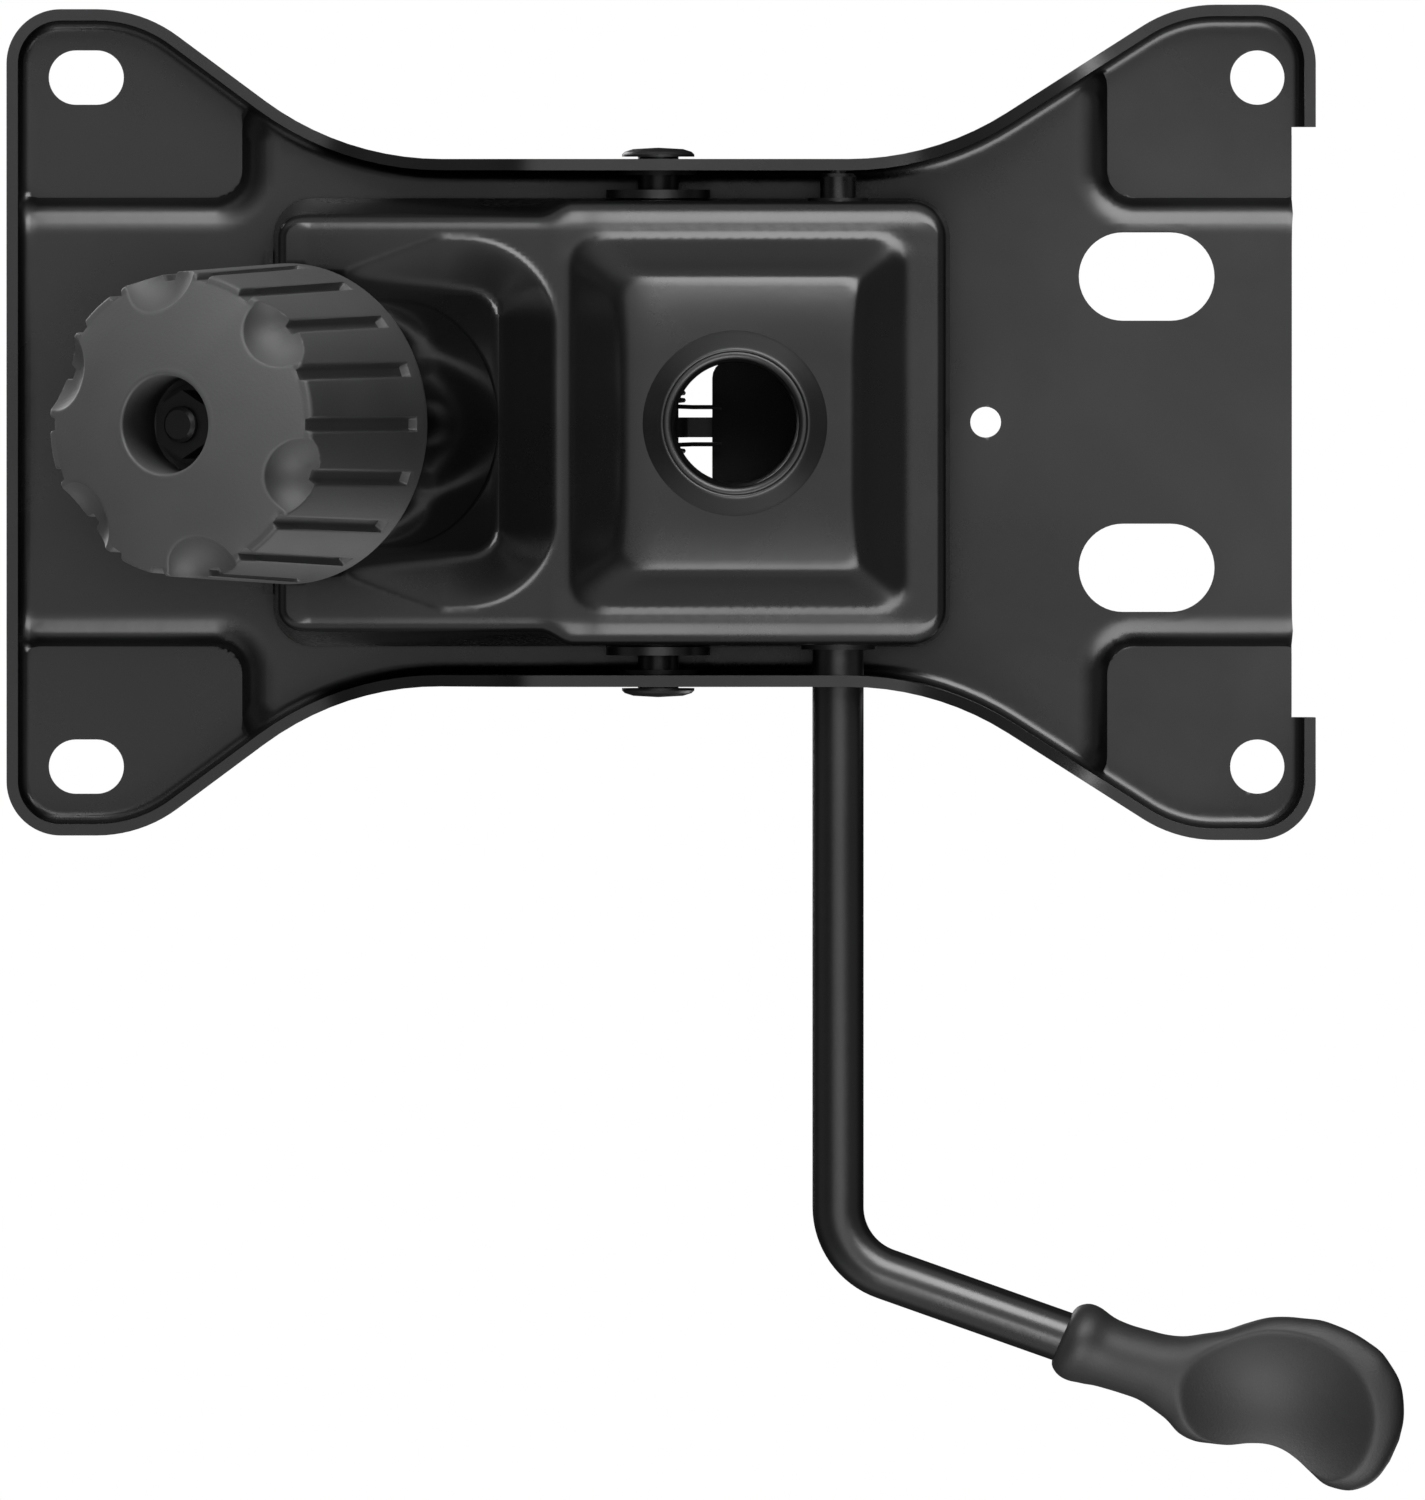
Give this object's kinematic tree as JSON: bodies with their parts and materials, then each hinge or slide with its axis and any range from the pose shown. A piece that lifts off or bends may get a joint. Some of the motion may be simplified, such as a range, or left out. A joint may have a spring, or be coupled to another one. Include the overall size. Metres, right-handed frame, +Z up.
{
  "type": "office chair tilt mechanism",
  "caption": "Tilting seat plate on a gas-lift housing, with a spring tension knob and a bent height and lock lever.",
  "frame": {"origin": "centre of the gas-lift socket's mouth, at the bush's lower end", "axes": "+Z up, -Y toward the front of the chair, -X toward the lever, the sitter's right"},
  "size_m": [0.3277, 0.3084, 0.1506],
  "materials": {
    "painted_plate": "gloss black powder coat on pressed steel",
    "painted_pan": "gloss black powder coat on deep-drawn steel",
    "painted_steel": "black paint",
    "sleeve_paint": "glossy black tube",
    "rod_paint": "satin black rod",
    "bush_steel": "dark machined steel",
    "washer_steel": "blackened steel",
    "zinc_steel": "dull zinc plated steel",
    "spring_steel": "dark spring steel",
    "nylon": "black nylon",
    "rubber": "black rubber",
    "knob_plastic": "dark grey moulded plastic",
    "grip_plastic": "dark grey moulded plastic, fine texture"
  },
  "bodies": {
    "housing": {"housing_pan": "painted_pan", "taper_bush": "bush_steel", "bush_brace": "painted_steel", "pivot_axle": "painted_steel", "axle_washers": "washer_steel", "lever_bush_near": "nylon", "lever_bush_far": "nylon", "front_bumpers": "rubber", "spring_sleeve": "sleeve_paint", "spring_seat": "zinc_steel", "tension_spring": "spring_steel", "return_spring": "spring_steel", "spring_spacer": "nylon"},
    "seat": {"seat_plate": "painted_plate", "bolt_saddle": "painted_steel", "flange_bushes": "nylon"},
    "bolt": {"tension_bolt": "zinc_steel"},
    "cap": {"spring_cap": "zinc_steel"},
    "knob": {"tension_knob": "knob_plastic", "knob_nut": "zinc_steel"},
    "actuator": {"actuator_paddle": "painted_steel"},
    "lever": {"lever_rod": "rod_paint", "rod_clip": "spring_steel", "lever_grip": "grip_plastic"}
  },
  "joints": [
    {"name": "tilt", "type": "hinge", "parent": "housing", "child": "seat", "pos_m": [0, -0.017, 0.0465], "axis": [-1, 0, 0], "range_deg": [0, 16], "stiffness_Nm_per_rad": 45, "springref_deg": -17.19},
    {"name": "bolt_pull", "type": "slide", "parent": "housing", "child": "bolt", "axis": [0, 0.5, 0.866], "range_m": [0, 0.00925], "deforming": ["tension_spring"]},
    {"name": "knob_feed", "type": "slide", "parent": "bolt", "child": "cap", "axis": [0, 0.5, 0.866], "range_m": [0, 0.018], "deforming": ["tension_spring"]},
    {"name": "knob_turn", "type": "hinge", "parent": "cap", "child": "knob", "pos_m": [0, -0.106, -0.04204], "axis": [0, 0.5, 0.866], "range_deg": [0, 2160]},
    {"name": "lever_lift", "type": "hinge", "parent": "housing", "child": "actuator", "pos_m": [0, 0.0227, 0.028], "axis": [1, 0, 0], "range_deg": [0, 11], "stiffness_Nm_per_rad": 2, "springref_deg": -28.65, "deforming": ["return_spring"]},
    {"name": "lever_push", "type": "slide", "parent": "actuator", "child": "lever", "axis": [1, 0, 0], "range_m": [0, 0.009]}
  ],
  "couplings": [
    {"joint": "bolt_pull", "follows": "tilt", "m_per_rad": 0.033},
    {"joint": "knob_feed", "follows": "knob_turn", "m_per_rad": 0.00047746}
  ]
}
